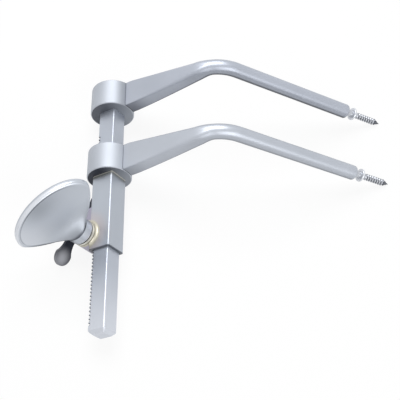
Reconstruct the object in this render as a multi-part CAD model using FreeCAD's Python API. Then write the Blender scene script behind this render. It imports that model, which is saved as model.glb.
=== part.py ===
import FreeCAD, Part
import math
import os

# Self retaining retractor: a toothed square bar carries a fixed arm and a sliding arm.
# Each arm ends in a tube that holds a bone screw, and a thumb key drives the sliding arm along the teeth.
# Millimetres. The model is built in the bar's own directions and laid down at the end:
# P is the way the arms leave the bar, Q is the way the tubes turn down, U runs up the bar to the fixed arm.

# Bar and rack teeth
bar_side = 8.0
bar_length = 116.0
bar_edge_chamfer = 0.55
bar_end_chamfer = 1.2
tooth_pitch = 1.6
tooth_flank_deg = 25.0
tooth_addendum = 0.5
tooth_dedendum = 0.65
first_notch_depth = 25.8
notch_count = 55

# Collars
collar_radius = 9.55
collar_height = 12.6
collar_rim_round = 0.35
sleeve_socket_depth = 1.5
sliding_clearance = 0.05
dowel_radius = 1.0
dowel_bar_depth = 2.0

# Arms
blade_thickness = 6.4
blade_root_inset = 2.0
blade_full_reach = 12.0
blade_full_corner = 0.6
blade_steps = 4
bend_entry_upper = 3.3
bend_entry_lower = 3.95
bend_entry_upper_corner = 2.9
bend_entry_lower_corner = 1.8
lower_taper_power = 1.3
bend_round_deg = 27.0
section_seam_deg = 6.0
tube_radius = 3.2
tube_end_round = 0.8
elbow_reach = 53.6
elbow_deg = 61.84
bend_radius = 16.7
tube_length = 69.5

# Bone screws
screw_post_radius = 1.5
screw_post_engaged = 24.0
screw_hex_length = 4.0
screw_hex_across = 2.4
screw_running_clearance = 0.05
screw_seat_gap = 0.05
screw_neck_length = 3.15
flange_radius = 2.9
flange_thickness = 0.9
flange_edge_round = 0.25
screw_shank_length = 1.75
screw_shank_radius = 1.25
screw_thread_radius = 1.5
screw_thread_length = 10.4
screw_point_length = 3.2
screw_point_radius = 0.15

# Guide sleeve
sleeve_wall = 1.0
sleeve_below_pinion = 7.5
sleeve_edge_round = 0.7

# Rack drive
pinion_teeth = 12
pinion_pitches_down = 29.5
pinion_below_collar = 39.85
pinion_addendum = 0.44
pinion_dedendum = 0.62
tooth_backlash = 0.08
pinion_end_gap = 0.1
front_journal_radius = 2.2
rear_journal_radius = 1.6
rear_journal_recess = 0.4
journal_clearance = 0.05
housing_radius = 5.3
cavity_radius = 3.9
boss_height = 2.35
rear_wall = 1.65
rear_chamfer = 2.6
rear_bush_radius = 2.35
bush_bar_gap = 0.1
braze_fillet_radius = 1.2

# Thumb key
washer_thickness = 0.4
washer_radius = 3.6
thrust_gap = 0.05
hub_radius = 5.45
hub_length = 4.2
hub_edge_round = 0.5
shaft_in_hub = 3.1
key_taper_length = 4.4
key_plate_thickness = 3.2
key_plate_half_width = 18.2
key_plate_widest = 17.35
key_plate_far = 11.8
key_plate_near = 15.6
key_near_exponent = 1.33
key_edge_round = 1.1
key_turn_deg = 30.5
key_rim_steps = 6
cross_pin_radius = 0.6
cross_pin_setback = 1.7
cross_pin_past_shaft = 1.4

# Lock lever
lever_splay_deg = 29.6
lock_swing_deg = 5.9
lever_arm = 10.0
nose_pitches_down = 19
nose_entry_shift = 0.06
nose_depth = 0.78
nose_height = 1.1
nose_tip_width = 0.24
nose_flank_deg = 20.0
lever_body_width = 3.6
lever_body_q = -1.6
lever_root_thickness = 2.4
lever_thickness = 1.3
lever_boss_radius = 2.0
lever_bend_start = 3.2
lever_bend_steps = 5
lever_neck_distance = 10.6
lever_neck_radius = 2.2
lever_neck_q = -5.35
paddle_distance = 17.6
paddle_radius = 4.1
paddle_q = -5.5
pivot_pin_radius = 0.8
pivot_clearance = 0.05
ear_thickness = 1.4
ear_front_gap = 0.1
ear_radius = 2.4
ear_above_pivot = 3.9
ear_below_pivot = 5.0
lever_washer_thickness = 0.25
lever_washer_radius = 1.8
lever_washer_gap = 0.05
nose_slot_above = 1.8
nose_slot_below = 2.9
nose_slot_side_gap = 0.3

# Travel of the sliding arm, in whole teeth from the rest place
closing_teeth = 12
opening_teeth = 19

# Places worked out from the sizes above
half_bar = bar_side / 2
half_hole = half_bar + sliding_clearance
half_sleeve = half_hole + sleeve_wall
half_collar = collar_height / 2
notch_top = -first_notch_depth
pinion_u = notch_top - pinion_pitches_down * tooth_pitch
sliding_top = pinion_u + pinion_below_collar
sliding_bottom = sliding_top - collar_height
sleeve_bottom = pinion_u - sleeve_below_pinion
pitch_radius = pinion_teeth * tooth_pitch / (2 * math.pi)
pinion_p = -(half_bar - tooth_addendum + pitch_radius)
boss_face = -(half_sleeve + boss_height)
hub_face = boss_face - thrust_gap - washer_thickness
hub_end = hub_face - hub_length
shaft_end = hub_face - shaft_in_hub
bush_end = -(half_bar + bush_bar_gap)
cavity_rear = half_sleeve - rear_wall
pinion_front = bush_end + pinion_end_gap
pinion_rear = cavity_rear - pinion_end_gap
rear_journal_end = half_sleeve - rear_journal_recess
nose_u = notch_top - nose_pitches_down * tooth_pitch - nose_entry_shift
splay = math.radians(lever_splay_deg)
locked_splay = math.radians(lever_splay_deg + lock_swing_deg)
pivot_p = -half_bar + nose_depth - lever_arm * math.sin(locked_splay)
pivot_u = nose_u - lever_arm * math.cos(locked_splay)
lever_front = lever_body_q - lever_body_width / 2
lever_rear = lever_body_q + lever_body_width / 2
ear_front_inner = lever_front - ear_front_gap
ear_front_outer = ear_front_inner - ear_thickness
ear_rear_inner = lever_rear + lever_washer_thickness + lever_washer_gap
ear_rear_outer = ear_rear_inner + ear_thickness
dowel_start = -math.sqrt(collar_radius ** 2 - dowel_radius ** 2)
tube_turn = math.radians(elbow_deg)
elbow_tangent = bend_radius * math.tan(tube_turn / 2)
bend_start = elbow_reach - elbow_tangent
flange_start = tube_length + screw_neck_length
thread_start = flange_start + flange_thickness + screw_shank_length
tip_distance = thread_start + screw_thread_length + screw_point_length

ALONG_P = FreeCAD.Vector(1, 0, 0)
ALONG_Q = FreeCAD.Vector(0, 1, 0)
ALONG_U = FreeCAD.Vector(0, 0, 1)
TUBE_WAY = FreeCAD.Vector(math.cos(tube_turn), math.sin(tube_turn), 0)
LEVER_OUTWARD = FreeCAD.Vector(math.cos(splay), 0, -math.sin(splay))


def point(p, q, u):
    return FreeCAD.Vector(p, q, u)


def block(p0, p1, q0, q1, u0, u1):
    return Part.makeBox(p1 - p0, q1 - q0, u1 - u0, point(p0, q0, u0))


def rod_p(radius, p0, p1, q, u):
    return Part.makeCylinder(radius, p1 - p0, point(p0, q, u), ALONG_P)


def rod_q(radius, q0, q1, p, u):
    return Part.makeCylinder(radius, q1 - q0, point(p, q0, u), ALONG_Q)


def rod_u(radius, u0, u1):
    return Part.makeCylinder(radius, u1 - u0, point(0, 0, u0), ALONG_U)


def pinion_rod(radius, q0, q1):
    return rod_q(radius, q0, q1, pinion_p, pinion_u)


def outline(points):
    return Part.makePolygon(points + [points[0]])


def prism(points, direction):
    return Part.Face(outline(points)).extrude(direction)


def spline(points, closed=False):
    curve = Part.BSplineCurve()
    curve.interpolate(points, closed)
    return curve.toShape()


def elbow_point(top):
    return point(elbow_reach, 0, top - half_collar)


def bar_section(half, chamfer, u):
    inner = half - chamfer
    corners = [(half, -inner), (half, inner), (inner, half), (-inner, half),
               (-half, inner), (-half, -inner), (-inner, -half), (inner, -half)]
    return outline([point(p, q, u) for p, q in corners])


def tooth_profile():
    # The side view of the toothed face, with one notch after another down the bar.
    flank = math.tan(math.radians(tooth_flank_deg))
    mouth = tooth_pitch / 4 + tooth_addendum * flank
    floor = tooth_pitch / 4 - tooth_dedendum * flank
    floor_p = -half_bar + tooth_addendum + tooth_dedendum
    points = [point(-half_bar, -half_bar, 0)]
    for index in range(notch_count):
        centre = notch_top - index * tooth_pitch
        points.append(point(-half_bar, -half_bar, centre + mouth))
        points.append(point(floor_p, -half_bar, centre + floor))
        points.append(point(floor_p, -half_bar, centre - floor))
        points.append(point(-half_bar, -half_bar, centre - mouth))
    points.append(point(-half_bar, -half_bar, -bar_length))
    points.append(point(half_bar, -half_bar, -bar_length))
    points.append(point(half_bar, -half_bar, 0))
    return points


def make_rack_bar():
    straight_end = bar_end_chamfer - bar_length
    shank = Part.Face(bar_section(half_bar, bar_edge_chamfer, straight_end)).extrude(ALONG_U * -straight_end)
    outer = bar_section(half_bar, bar_edge_chamfer, straight_end)
    inner = bar_section(half_bar - bar_end_chamfer, bar_edge_chamfer, -bar_length)
    bar = shank.fuse(Part.makeLoft([outer, inner], True, True))
    bar = bar.common(prism(tooth_profile(), ALONG_Q * bar_side))
    return bar.cut(rack_dowel()).removeSplitter()


def rack_dowel():
    return rod_p(dowel_radius, dowel_start, dowel_bar_depth - half_bar, 0, -half_collar)


def collar_body(top):
    ring = rod_u(collar_radius, top - collar_height, top)
    rims = [edge for edge in ring.Edges if edge.Closed]
    return ring.makeFillet(collar_rim_round, rims)


def make_fixed_collar():
    socket_face = Part.Face(bar_section(half_bar, bar_edge_chamfer, -collar_height))
    socket = socket_face.extrude(ALONG_U * collar_height)
    drill = rod_p(dowel_radius, -collar_radius, -half_bar, 0, -half_collar)
    return collar_body(0).cut(socket).cut(drill)


def make_sliding_collar():
    hole = block(-half_hole, half_hole, -half_hole, half_hole, sliding_bottom, sliding_top)
    socket = sleeve_blank(sliding_bottom, sliding_bottom + sleeve_socket_depth)
    return collar_body(sliding_top).cut(hole).cut(socket)


def arm_section(reach, upper, lower, upper_corner, lower_corner, top):
    # A rounded rectangle across the arm: four corner arcs joined by four straight sides.
    half_width = blade_thickness / 2
    edges = []
    corners = []
    for q_side, u_side in ((1, 1), (-1, 1), (-1, -1), (1, -1)):
        height, corner = (upper, upper_corner) if u_side > 0 else (lower, lower_corner)
        bulge = corner * (1 - math.sqrt(0.5))
        upright = (half_width * q_side, (height - corner) * u_side)
        middle = ((half_width - bulge) * q_side, (height - bulge) * u_side)
        level = ((half_width - corner) * q_side, height * u_side)
        ends = (upright, middle, level) if q_side == u_side else (level, middle, upright)
        corners.append([point(reach, q, top - half_collar + u) for q, u in ends])
    for index, (start, middle, end) in enumerate(corners):
        following = corners[(index + 1) % len(corners)]
        edges.append(Part.Arc(start, middle, end).toShape())
        edges.append(Part.LineSegment(end, following[0]).toShape())
    return Part.Wire(edges)


def tube_section(reach, top):
    # The round end of the blade, cut at the same eight places as the rounded rectangle.
    def rim(degrees):
        angle = math.radians(degrees)
        return point(reach, tube_radius * math.cos(angle), top - half_collar + tube_radius * math.sin(angle))

    edges = []
    for quarter in range(4):
        start = 90 * quarter + section_seam_deg
        end = 90 * (quarter + 1) - section_seam_deg
        seam = 90 * (quarter + 1) + section_seam_deg
        edges.append(Part.Arc(rim(start), rim((start + end) / 2), rim(end)).toShape())
        edges.append(Part.Arc(rim(end), rim((end + seam) / 2), rim(seam)).toShape())
    return Part.Wire(edges)


def round_the_bend(shape, degrees):
    # The bend turns about an upright line beside the place where the blade ends.
    return shape.rotate(point(bend_start, bend_radius, 0), ALONG_U, degrees)


def blend(start, end, share):
    return start + (end - start) * share


def make_arm(top):
    # The blade tapers evenly to the bend, keeps some of its flat sides into it
    # and is round by bend_round_deg.
    full = (half_collar, half_collar, blade_full_corner, blade_full_corner, top)
    sections = [arm_section(collar_radius - blade_root_inset, *full), arm_section(blade_full_reach, *full)]
    for step in range(1, blade_steps + 1):
        share = step / blade_steps
        sections.append(arm_section(blend(blade_full_reach, bend_start, share),
                                    blend(half_collar, bend_entry_upper, share),
                                    blend(half_collar, bend_entry_lower, share ** lower_taper_power),
                                    blend(blade_full_corner, bend_entry_upper_corner, share),
                                    blend(blade_full_corner, bend_entry_lower_corner, share), top))
    sections.append(round_the_bend(tube_section(bend_start, top), bend_round_deg))
    root = Part.makeLoft(sections[:2], True, True)
    blade = Part.makeLoft(sections[1:], True, False)
    ring = Part.Circle(point(bend_start, 0, top - half_collar), ALONG_P, tube_radius)
    disc = round_the_bend(Part.Face(Part.Wire([ring.toShape()])), bend_round_deg)
    bend = disc.revolve(point(bend_start, bend_radius, 0), ALONG_U, elbow_deg - bend_round_deg)
    tube_start = elbow_point(top) + TUBE_WAY * elbow_tangent
    tube = Part.makeCylinder(tube_radius, tube_length - elbow_tangent, tube_start, TUBE_WAY)
    mouth = elbow_point(top) + TUBE_WAY * tube_length
    end_rim = [edge for edge in tube.Edges
               if edge.Closed and edge.BoundBox.Center.distanceToPoint(mouth) < tube_radius]
    tube = tube.makeFillet(tube_end_round, end_rim)
    arm = root.fuse([blade, bend, tube]).removeSplitter()
    bore_start = elbow_point(top) + TUBE_WAY * (tube_length - screw_post_engaged)
    bore = Part.makeCylinder(screw_post_radius + screw_running_clearance, 2 * screw_post_engaged,
                             bore_start, TUBE_WAY)
    seat = rod_u(collar_radius, top - 2 * collar_height, top + collar_height)
    return arm.cut(bore).cut(seat)


def make_screw(top):
    # Drawn along its own axis from the hidden driving end, then laid into the tube.
    start_distance = tube_length - screw_post_engaged + screw_seat_gap
    flange_near = flange_start - start_distance
    flange_far = flange_near + flange_thickness
    thread_near = thread_start - start_distance
    thread_far = thread_near + screw_thread_length
    thread_depth = screw_thread_radius - screw_shank_radius
    tip = thread_far + screw_point_length
    profile = [point(0, 0, screw_hex_length),
               point(screw_post_radius, 0, screw_hex_length),
               point(screw_post_radius, 0, flange_near),
               point(flange_radius - flange_edge_round, 0, flange_near),
               point(flange_radius, 0, flange_near + flange_edge_round),
               point(flange_radius, 0, flange_far - flange_edge_round),
               point(flange_radius - flange_edge_round, 0, flange_far),
               point(screw_shank_radius, 0, flange_far),
               point(screw_shank_radius, 0, thread_near - thread_depth),
               point(screw_thread_radius, 0, thread_near),
               point(screw_thread_radius, 0, thread_far),
               point(screw_point_radius, 0, tip),
               point(0, 0, tip)]
    screw = Part.Face(outline(profile)).revolve(point(0, 0, 0), ALONG_U, 360)
    corners = []
    for index in range(6):
        angle = math.pi * index / 3
        reach = screw_hex_across / math.sqrt(3)
        corners.append(point(reach * math.cos(angle), reach * math.sin(angle), 0))
    screw = screw.fuse(prism(corners, ALONG_U * screw_hex_length)).removeSplitter()
    start = elbow_point(top) + TUBE_WAY * start_distance
    screw.Placement = FreeCAD.Placement(start, FreeCAD.Rotation(ALONG_U, TUBE_WAY))
    return screw


def sleeve_blank(u0, u1):
    blank = block(-half_sleeve, half_sleeve, -half_sleeve, half_sleeve, u0, u1)
    uprights = [edge for edge in blank.Edges
                if abs(edge.Vertexes[0].Point.z - edge.Vertexes[1].Point.z) > sliding_clearance]
    return blank.makeFillet(sleeve_edge_round, uprights)


def make_guide_sleeve():
    top = sliding_bottom + sleeve_socket_depth
    sleeve = sleeve_blank(sleeve_bottom, top)
    sleeve = sleeve.cut(block(-half_hole, half_hole, -half_hole, half_hole, sleeve_bottom, top))
    sleeve = sleeve.cut(pinion_rod(cavity_radius, -half_sleeve, cavity_rear))
    sleeve = sleeve.cut(pinion_rod(rear_bush_radius, cavity_rear, half_sleeve))
    slot = block(-half_sleeve, 0, lever_front - nose_slot_side_gap, lever_rear + nose_slot_side_gap,
                 nose_u - nose_slot_below, nose_u + nose_slot_above)
    return sleeve.cut(slot)


def tangent_to_ear(p, u, side):
    # Where a line from the point (p, u) just touches the round end of an ear.
    p_gap = p - pivot_p
    u_gap = u - pivot_u
    angle = math.atan2(u_gap, p_gap) + side * math.acos(ear_radius / math.hypot(p_gap, u_gap))
    return pivot_p + ear_radius * math.cos(angle), pivot_u + ear_radius * math.sin(angle)


def ear(q0, q1):
    upper = pivot_u + ear_above_pivot
    lower = pivot_u - ear_below_pivot
    upper_touch = tangent_to_ear(-half_sleeve, upper, 1)
    lower_touch = tangent_to_ear(-half_sleeve, lower, -1)
    corners = [(-half_sleeve, upper), upper_touch, (pivot_p, pivot_u), lower_touch,
               (-half_sleeve, lower), (-half_bar, lower), (-half_bar, upper)]
    web = prism([point(p, q0, u) for p, u in corners], ALONG_Q * (q1 - q0))
    return web.fuse(rod_q(ear_radius, q0, q1, pivot_p, pivot_u))


def braze_fillet():
    # A hollow fillet of filler metal round the boss, on the front face of the sleeve.
    face = -half_sleeve
    hollow = braze_fillet_radius * (1 - math.sqrt(0.5))
    side = pinion_p + housing_radius
    corner = point(side, face, pinion_u)
    foot = point(side + braze_fillet_radius, face, pinion_u)
    middle = point(side + hollow, face - hollow, pinion_u)
    top = point(side, face - braze_fillet_radius, pinion_u)
    edges = [Part.LineSegment(corner, foot).toShape(),
             Part.Arc(foot, middle, top).toShape(),
             Part.LineSegment(top, corner).toShape()]
    ring = Part.Face(Part.Wire(edges)).revolve(point(pinion_p, 0, pinion_u), ALONG_Q, 360)
    flat = half_sleeve - sleeve_edge_round
    outer = housing_radius + braze_fillet_radius
    zone = block(-flat, flat, face - braze_fillet_radius, face, pinion_u - outer, pinion_u + outer)
    return ring.common(zone)


def make_gear_housing():
    barrel = pinion_rod(housing_radius, boss_face, half_sleeve)
    back = [edge for edge in barrel.Edges
            if edge.Closed and abs(edge.Vertexes[0].Point.y - half_sleeve) < sliding_clearance]
    barrel = barrel.makeChamfer(rear_chamfer, back)
    housing = barrel.fuse([ear(ear_front_outer, ear_front_inner), ear(ear_rear_inner, ear_rear_outer)])
    housing = housing.cut(sleeve_blank(sleeve_bottom, sliding_top)).fuse(braze_fillet())
    housing = housing.cut(pinion_rod(cavity_radius, boss_face, cavity_rear))
    housing = housing.cut(pinion_rod(rear_bush_radius, cavity_rear, half_sleeve))
    return housing.cut(rod_q(pivot_pin_radius, ear_front_outer, ear_rear_outer, pivot_p, pivot_u))


def make_front_bush():
    bush = pinion_rod(cavity_radius, boss_face, bush_end)
    return bush.cut(pinion_rod(front_journal_radius + journal_clearance, boss_face, bush_end))


def make_rear_bush():
    bush = pinion_rod(rear_bush_radius, cavity_rear, half_sleeve)
    return bush.cut(pinion_rod(rear_journal_radius + journal_clearance, cavity_rear, half_sleeve))


def on_circle(radius, angle):
    return point(radius * math.cos(angle), 0, radius * math.sin(angle))


def flank_point(base, radius, half_angle, side, tooth):
    roll = math.sqrt(max((radius / base) ** 2 - 1, 0))
    return on_circle(radius, tooth + side * (half_angle - roll + math.atan(roll)))


def pinion_section():
    # Involute teeth, each flank an arc through three of its points, set so that they fall in the notches.
    pressure = math.radians(tooth_flank_deg)
    base = pitch_radius * math.cos(pressure)
    tip = pitch_radius + pinion_addendum
    root = pitch_radius - pinion_dedendum
    thickness = tooth_pitch / 2 - tooth_backlash
    half_angle = thickness / (2 * pitch_radius) + math.tan(pressure) - pressure
    step = 2 * math.pi / pinion_teeth
    phase = (notch_top - pinion_u) / pitch_radius
    radii = (base, (base + tip) / 2, tip)
    edges = []
    for index in range(pinion_teeth):
        tooth = phase + index * step
        rise = [flank_point(base, radius, half_angle, -1, tooth) for radius in radii]
        fall = [flank_point(base, radius, half_angle, 1, tooth) for radius in reversed(radii)]
        foot = on_circle(root, tooth - half_angle)
        heel = on_circle(root, tooth + half_angle)
        next_foot = on_circle(root, tooth + step - half_angle)
        edges.append(Part.LineSegment(foot, rise[0]).toShape())
        edges.append(Part.Arc(*rise).toShape())
        edges.append(Part.LineSegment(rise[-1], fall[0]).toShape())
        edges.append(Part.Arc(*fall).toShape())
        edges.append(Part.LineSegment(fall[-1], heel).toShape())
        edges.append(Part.Arc(heel, on_circle(root, tooth + step / 2), next_foot).toShape())
    return Part.Face(Part.Wire(edges))


def make_drive_pinion():
    gear = pinion_section().extrude(ALONG_Q * (pinion_rear - pinion_front))
    gear.translate(point(pinion_p, pinion_front, pinion_u))
    front = pinion_rod(front_journal_radius, shaft_end, pinion_front)
    rear = pinion_rod(rear_journal_radius, pinion_rear, rear_journal_end)
    return gear.fuse([front, rear]).cut(cross_pin())


def turn_key(shape):
    # Turns a piece drawn with the key's width along P to the key's place at rest.
    shape.rotate(point(0, 0, 0), ALONG_Q, -key_turn_deg)
    shape.translate(point(pinion_p, 0, pinion_u))
    return shape


def cross_pin():
    start = -math.sqrt(hub_radius ** 2 - cross_pin_radius ** 2)
    end = front_journal_radius + cross_pin_past_shaft
    return turn_key(rod_p(cross_pin_radius, start, end, hub_face - cross_pin_setback, 0))


def key_plate():
    # The far half of the plate is an ellipse; the near half narrows to the hub as a superellipse.
    widest = hub_face - key_plate_widest
    points = []
    for index in range(-key_rim_steps, key_rim_steps + 1):
        angle = index / key_rim_steps * math.pi / 2
        across = math.copysign(abs(math.sin(angle)) ** (2 / key_near_exponent), index)
        along = math.cos(angle) ** (2 / key_near_exponent)
        points.append(point(key_plate_half_width * across, widest + key_plate_near * along, 0))
    for index in range(1, 2 * key_rim_steps):
        angle = index / (2 * key_rim_steps) * math.pi
        across = key_plate_half_width * math.cos(angle)
        points.append(point(across, widest - key_plate_far * math.sin(angle), 0))
    face = Part.Face(Part.Wire([spline(points, True)]))
    plate = face.extrude(ALONG_U * key_plate_thickness)
    plate.translate(ALONG_U * (-key_plate_thickness / 2))
    rims = [edge for edge in plate.Edges if edge.Closed]
    return plate.makeFillet(key_edge_round, rims)


def key_shoulder(taper_end):
    # Two hollow arcs sweep from the hub's rim down to the faces of the plate.
    half = key_plate_thickness / 2
    rise = hub_radius - half
    sweep = (rise ** 2 + key_taper_length ** 2) / (2 * rise)
    middle_q = taper_end + key_taper_length / 2
    middle_rise = half + sweep - math.sqrt(sweep ** 2 - (key_taper_length / 2) ** 2)

    def corner(q, u):
        return point(-hub_radius, q, u)

    edges = [Part.LineSegment(corner(hub_end, -hub_radius), corner(hub_end, hub_radius)).toShape(),
             Part.Arc(corner(hub_end, hub_radius), corner(middle_q, middle_rise),
                      corner(taper_end, half)).toShape(),
             Part.LineSegment(corner(taper_end, half), corner(taper_end, -half)).toShape(),
             Part.Arc(corner(taper_end, -half), corner(middle_q, -middle_rise),
                      corner(hub_end, -hub_radius)).toShape()]
    return Part.Face(Part.Wire(edges)).extrude(ALONG_P * (2 * hub_radius))


def make_thumb_key():
    taper_end = hub_end - key_taper_length
    hub = rod_q(hub_radius, hub_end, hub_face, 0, 0)
    back = [edge for edge in hub.Edges
            if edge.Closed and abs(edge.Vertexes[0].Point.y - hub_face) < hub_edge_round]
    hub = hub.makeFillet(hub_edge_round, back)
    taper = key_shoulder(taper_end).common(rod_q(hub_radius, taper_end, hub_end, 0, 0))
    key = turn_key(hub.fuse([taper, key_plate()]))
    return key.cut(pinion_rod(front_journal_radius, shaft_end, hub_face)).cut(cross_pin()).removeSplitter()


def make_thrust_washer():
    washer = pinion_rod(washer_radius, hub_face, hub_face + washer_thickness)
    return washer.cut(pinion_rod(front_journal_radius, hub_face, hub_face + washer_thickness))


def lever_point(along, across, q):
    # along runs from the pivot to the nose, across runs from the lever to the bar.
    p = pivot_p + along * math.sin(splay) + across * math.cos(splay)
    u = pivot_u + along * math.cos(splay) - across * math.sin(splay)
    return point(p, q, u)


def nose_point(back, up, q):
    # Measured from the nose tip while it is locked square into a notch.
    along = lever_arm - back * math.sin(locked_splay) + up * math.cos(locked_splay)
    across = -back * math.cos(locked_splay) - up * math.sin(locked_splay)
    return lever_point(along, across, q)


def lever_side_view(q0, q1):
    tip_half = nose_tip_width / 2
    foot_half = tip_half + nose_height * math.tan(math.radians(nose_flank_deg))
    root_half = lever_root_thickness / 2
    arm = [lever_point(0, root_half, q0), nose_point(nose_height, -foot_half, q0),
           nose_point(0, -tip_half, q0), nose_point(0, tip_half, q0), nose_point(nose_height, foot_half, q0),
           nose_point(2 * nose_height, 2 * foot_half, q0), lever_point(0, -root_half, q0)]
    half = lever_thickness / 2
    tail_end = -(paddle_distance + 2 * paddle_radius)
    tail = [lever_point(0, half, q0), lever_point(0, -half, q0),
            lever_point(tail_end, -half, q0), lever_point(tail_end, half, q0)]
    width = ALONG_Q * (q1 - q0)
    boss = rod_q(lever_boss_radius, q0, q1, pivot_p, pivot_u)
    return prism(arm, width).fuse([prism(tail, width), boss])


def lever_front_view():
    # The lever seen square to its flat: a straight body, a bend to the side and a drop-shaped paddle.
    body_half = lever_body_width / 2
    lift = -2 * lever_boss_radius
    front = []
    rear = []
    for index in range(lever_bend_steps + 1):
        share = index / lever_bend_steps
        ease = share * share * (3 - 2 * share)
        along = -lever_bend_start - (lever_neck_distance - lever_bend_start) * share
        middle = lever_body_q + (lever_neck_q - lever_body_q) * ease
        half = body_half + (lever_neck_radius - body_half) * ease
        front.append(lever_point(along, lift, middle - half))
        rear.append(lever_point(along, lift, middle + half))
    flare = math.asin((paddle_radius - lever_neck_radius) / (paddle_distance - lever_neck_distance))
    touch = paddle_radius * math.sin(flare) - paddle_distance
    front.append(lever_point(touch, lift, paddle_q - paddle_radius * math.cos(flare)))
    rear.append(lever_point(touch, lift, paddle_q + paddle_radius * math.cos(flare)))
    end = lever_point(-paddle_distance - paddle_radius, lift, paddle_q)
    top_front = lever_point(lever_arm + nose_height, lift, lever_front)
    top_rear = lever_point(lever_arm + nose_height, lift, lever_rear)
    edges = [Part.LineSegment(top_front, front[0]).toShape(),
             spline(front),
             Part.Arc(front[-1], end, rear[-1]).toShape(),
             spline(list(reversed(rear))),
             Part.LineSegment(rear[0], top_rear).toShape(),
             Part.LineSegment(top_rear, top_front).toShape()]
    return Part.Face(Part.Wire(edges)).extrude(LEVER_OUTWARD * (-2 * lift))


def make_lock_lever():
    side = lever_side_view(paddle_q - 2 * paddle_radius, paddle_q + 2 * paddle_radius)
    lever = side.common(lever_front_view())
    return lever.cut(rod_q(pivot_pin_radius + pivot_clearance, lever_front, lever_rear, pivot_p, pivot_u))


def make_lever_pivot_pin():
    return rod_q(pivot_pin_radius, ear_front_outer, ear_rear_outer, pivot_p, pivot_u)


def make_lever_spring_washer():
    end = lever_rear + lever_washer_thickness
    washer = rod_q(lever_washer_radius, lever_rear, end, pivot_p, pivot_u)
    return washer.cut(rod_q(pivot_pin_radius + pivot_clearance, lever_rear, end, pivot_p, pivot_u))


pieces = {
    "rack_bar": make_rack_bar(),
    "fixed_collar": make_fixed_collar(),
    "fixed_arm": make_arm(0),
    "rack_dowel_pin": rack_dowel(),
    "fixed_screw": make_screw(0),
    "sliding_collar": make_sliding_collar(),
    "sliding_arm": make_arm(sliding_top),
    "sliding_screw": make_screw(sliding_top),
    "guide_sleeve": make_guide_sleeve(),
    "gear_housing": make_gear_housing(),
    "front_bush": make_front_bush(),
    "rear_bush": make_rear_bush(),
    "drive_pinion": make_drive_pinion(),
    "thrust_washer": make_thrust_washer(),
    "thumb_key": make_thumb_key(),
    "key_cross_pin": cross_pin(),
    "lock_lever": make_lock_lever(),
    "lever_pivot_pin": make_lever_pivot_pin(),
    "lever_spring_washer": make_lever_spring_washer(),
}

# The retractor lies on its two collars and its two screw tips.
screw_tip = point(elbow_reach, 0, 0) + TUBE_WAY * tip_distance
screw_edge = screw_tip + point(-TUBE_WAY.y, TUBE_WAY.x, 0) * screw_point_radius
lay_down = math.atan2(screw_edge.y, screw_edge.x) - math.asin(collar_radius / screw_edge.Length)
across_share = math.cos(lay_down)
rise_share = math.sin(lay_down)
laid = FreeCAD.Placement(FreeCAD.Matrix(across_share, rise_share, 0, 0,
                                        0, 0, 1, 0,
                                        rise_share, -across_share, 0, 0,
                                        0, 0, 0, 1))
whole = Part.makeCompound([shape.copy() for shape in pieces.values()])
whole.Placement = laid
box = whole.optimalBoundingBox(False, False)
shift = FreeCAD.Placement(point(-box.Center.x, -box.Center.y, -box.ZMin), FreeCAD.Rotation())
to_table = shift.multiply(laid)

os.makedirs("parts", exist_ok=True)
for name, shape in pieces.items():
    shape.Placement = to_table.multiply(shape.Placement)
    if not shape.isValid() or len(shape.Solids) != 1:
        raise RuntimeError(name + " is not one sound solid")
    solid = shape.Solids[0]
    solid.exportStep("parts/" + name + ".step")
    print(name, round(solid.Volume, 2), len(solid.Faces))


def show_place(label, p, q, u):
    place = to_table.multVec(point(p, q, u)) / 1000
    print(label, round(place.x, 6), round(place.y, 6), round(place.z, 6))


def show_way(label, direction):
    way = to_table.Rotation.multVec(direction)
    print(label, round(way.x, 6), round(way.y, 6), round(way.z, 6))


print("size", round(box.XLength, 3), round(box.YLength, 3), round(box.ZLength, 3))
print("laid degrees", round(math.degrees(lay_down), 3))
show_place("bar axis top", 0, 0, 0)
show_place("bar end", 0, 0, -bar_length)
show_place("pinion", pinion_p, 0, pinion_u)
show_place("lever pivot", pivot_p, lever_body_q, pivot_u)
for label, top in (("fixed", 0), ("sliding", sliding_top)):
    elbow = elbow_point(top)
    middle = elbow + TUBE_WAY * (thread_start + screw_thread_length / 2)
    show_place(label + " thread middle", middle.x, middle.y, middle.z)
    show_place(label + " elbow", elbow.x, elbow.y, elbow.z)
    show_place(label + " collar middle", 0, 0, top - half_collar)
show_way("P", ALONG_P)
show_way("Q", ALONG_Q)
show_way("U", ALONG_U)
show_way("tube", TUBE_WAY)
print("ratio rad per m", round(1000 / pitch_radius, 4))
print("travel mm", -closing_teeth * tooth_pitch, opening_teeth * tooth_pitch)
print("turn deg", round(math.degrees(-closing_teeth * tooth_pitch / pitch_radius), 3),
      round(math.degrees(opening_teeth * tooth_pitch / pitch_radius), 3))
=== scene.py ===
import math

import bmesh
import bpy
import numpy as np
from mathutils import Matrix, Vector


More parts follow.
